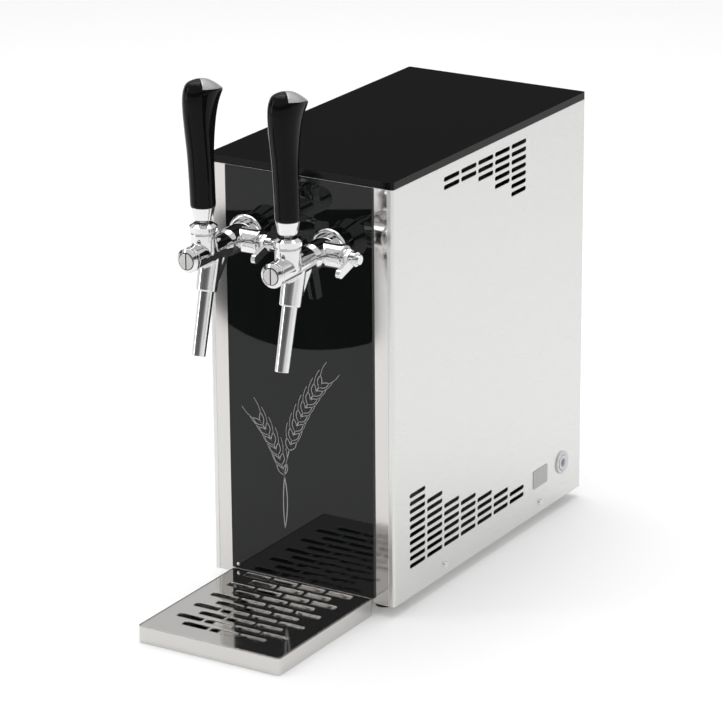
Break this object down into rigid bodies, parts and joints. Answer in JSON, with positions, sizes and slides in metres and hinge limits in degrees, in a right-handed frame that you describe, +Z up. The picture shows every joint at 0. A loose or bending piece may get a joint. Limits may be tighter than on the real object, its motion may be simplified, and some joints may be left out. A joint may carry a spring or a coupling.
{
  "type": "beer tap cooler",
  "caption": "Counter-top beer cooler with pull taps on a gloss black front, flow-control levers, vented steel sides and a slotted drip tray.",
  "frame": {"origin": "middle of the part's footprint, on the table under the feet and the drip tray", "axes": "+Z up, +X to the right as the user sees the front, +Y from the taps to the back"},
  "size_m": [0.1974, 0.532, 0.5068],
  "materials": {
    "satin_steel": "satin",
    "mirror_steel": "mirror polished",
    "black_glass": "gloss, opaque",
    "black_paint": "semi-matt",
    "rubber": "matt",
    "zinc": "galvanised",
    "chrome": "polished",
    "black_enamel": "enamel",
    "aluminium": "mill finish",
    "copper": "drawn copper",
    "foam": "closed-cell rubber foam",
    "black_plastic": "fine grain",
    "gloss_black": "gloss",
    "white_plastic": "gloss",
    "grey_plastic": "matt",
    "clear_hose": "translucent",
    "silver_plastic": "metallised",
    "green_rocker": "gloss",
    "red_rocker": "gloss",
    "fan_plastic": "matt"
  },
  "bodies": {
    "cabinet": {"base_pan": "zinc", "rubber_feet": "rubber", "left_side_panel": "satin_steel", "right_side_panel": "satin_steel", "front_panel": "mirror_steel", "black_fascia": "black_glass", "rear_panel": "satin_steel", "top_lid": "black_paint", "panel_screws": "chrome", "block_shelf": "zinc", "compressor": "black_enamel", "compressor_grommets": "rubber", "condenser": "aluminium", "fan_shroud": "zinc", "fan_motor": "black_enamel", "cold_block": "aluminium", "block_insulation": "foam", "beer_lines": "chrome", "inlet_hoses": "clear_hose", "thermostat": "black_plastic", "air_pump": "black_plastic", "air_hose": "clear_hose", "refrigerant_lines": "copper", "mains_inlet": "black_plastic", "switch_housings": "black_plastic", "beer_inlets": "white_plastic", "air_outlet": "white_plastic", "tap_shanks": "chrome", "tap_flanges": "chrome", "shank_nuts": "chrome", "front_caps": "chrome", "bonnet_nuts": "chrome", "compensator_glands": "chrome", "left_tap_body": "chrome", "left_spout": "chrome", "right_tap_body": "chrome", "right_spout": "chrome"},
    "drip_tray": {"drip_pan": "mirror_steel"},
    "grille": {"drip_grille": "mirror_steel"},
    "fan": {"fan_blade": "fan_plastic"},
    "thermostat_dial": {"thermostat_knob": "black_plastic"},
    "power_rocker": {"power_switch": "green_rocker"},
    "pump_rocker": {"pump_switch": "red_rocker"},
    "left_beer_collet": {"left_inlet_collet": "grey_plastic"},
    "right_beer_collet": {"right_inlet_collet": "grey_plastic"},
    "air_collet": {"air_outlet_collet": "white_plastic"},
    "left_lever": {"left_handle": "gloss_black", "left_inlay": "silver_plastic", "left_ferrule": "chrome", "left_stem": "chrome"},
    "left_valve": {"left_plunger": "white_plastic"},
    "left_flow_lever": {"left_comp_lever": "chrome"},
    "left_flow_cone": {"left_cone": "white_plastic"},
    "right_lever": {"right_handle": "gloss_black", "right_inlay": "silver_plastic", "right_ferrule": "chrome", "right_stem": "chrome"},
    "right_valve": {"right_plunger": "white_plastic"},
    "right_flow_lever": {"right_comp_lever": "chrome"},
    "right_flow_cone": {"right_cone": "white_plastic"}
  },
  "joints": [
    {"name": "left_tap_pull", "type": "hinge", "parent": "cabinet", "child": "left_lever", "pos_m": [-0.0435, -0.193, 0.371], "axis": [1, 0, 0], "range_deg": [0, 20]},
    {"name": "left_valve_slide", "type": "slide", "parent": "cabinet", "child": "left_valve", "axis": [0, 1, 0], "range_m": [0, 0.00787]},
    {"name": "left_flow_turn", "type": "hinge", "parent": "cabinet", "child": "left_flow_lever", "pos_m": [-0.0435, -0.142, 0.349], "axis": [1, 0, 0], "range_deg": [-40, 40]},
    {"name": "left_cone_slide", "type": "slide", "parent": "cabinet", "child": "left_flow_cone", "axis": [0, 1, 0], "range_m": [-0.00193, 0.00193]},
    {"name": "right_tap_pull", "type": "hinge", "parent": "cabinet", "child": "right_lever", "pos_m": [0.0435, -0.193, 0.371], "axis": [1, 0, 0], "range_deg": [0, 20]},
    {"name": "right_valve_slide", "type": "slide", "parent": "cabinet", "child": "right_valve", "axis": [0, 1, 0], "range_m": [0, 0.00787]},
    {"name": "right_flow_turn", "type": "hinge", "parent": "cabinet", "child": "right_flow_lever", "pos_m": [0.0435, -0.142, 0.349], "axis": [1, 0, 0], "range_deg": [-40, 40]},
    {"name": "right_cone_slide", "type": "slide", "parent": "cabinet", "child": "right_flow_cone", "axis": [0, 1, 0], "range_m": [-0.00193, 0.00193]},
    {"name": "tray_pull", "type": "slide", "parent": "cabinet", "child": "drip_tray", "axis": [0, -1, 0], "range_m": [0, 0.17]},
    {"name": "grille_lift", "type": "slide", "parent": "drip_tray", "child": "grille", "axis": [0, 0, 1], "range_m": [0, 0.04]},
    {"name": "fan_spin", "type": "hinge", "parent": "cabinet", "child": "fan", "pos_m": [0, 0.176, 0.0852], "axis": [0, 1, 0], "continuous": true},
    {"name": "thermostat_turn", "type": "hinge", "parent": "cabinet", "child": "thermostat_dial", "pos_m": [0, 0.256, 0.3], "axis": [0, 1, 0], "range_deg": [-140, 140]},
    {"name": "power_rock", "type": "hinge", "parent": "cabinet", "child": "power_rocker", "pos_m": [0.005, 0.248, 0.2], "axis": [1, 0, 0], "range_deg": [-8, 8]},
    {"name": "pump_rock", "type": "hinge", "parent": "cabinet", "child": "pump_rocker", "pos_m": [0.045, 0.248, 0.2], "axis": [1, 0, 0], "range_deg": [-8, 8]},
    {"name": "left_collet_push", "type": "slide", "parent": "cabinet", "child": "left_beer_collet", "axis": [0, -1, 0], "range_m": [0, 0.0015]},
    {"name": "right_collet_push", "type": "slide", "parent": "cabinet", "child": "right_beer_collet", "axis": [0, -1, 0], "range_m": [0, 0.0015]},
    {"name": "air_collet_push", "type": "slide", "parent": "cabinet", "child": "air_collet", "axis": [-1, 0, 0], "range_m": [0, 0.0015]}
  ],
  "couplings": [
    {"joint": "left_valve_slide", "follows": "left_tap_pull", "m_per_rad": 0.022536},
    {"joint": "left_cone_slide", "follows": "left_flow_turn", "m_per_rad": 0.002762},
    {"joint": "right_valve_slide", "follows": "right_tap_pull", "m_per_rad": 0.022536},
    {"joint": "right_cone_slide", "follows": "right_flow_turn", "m_per_rad": 0.002762}
  ]
}
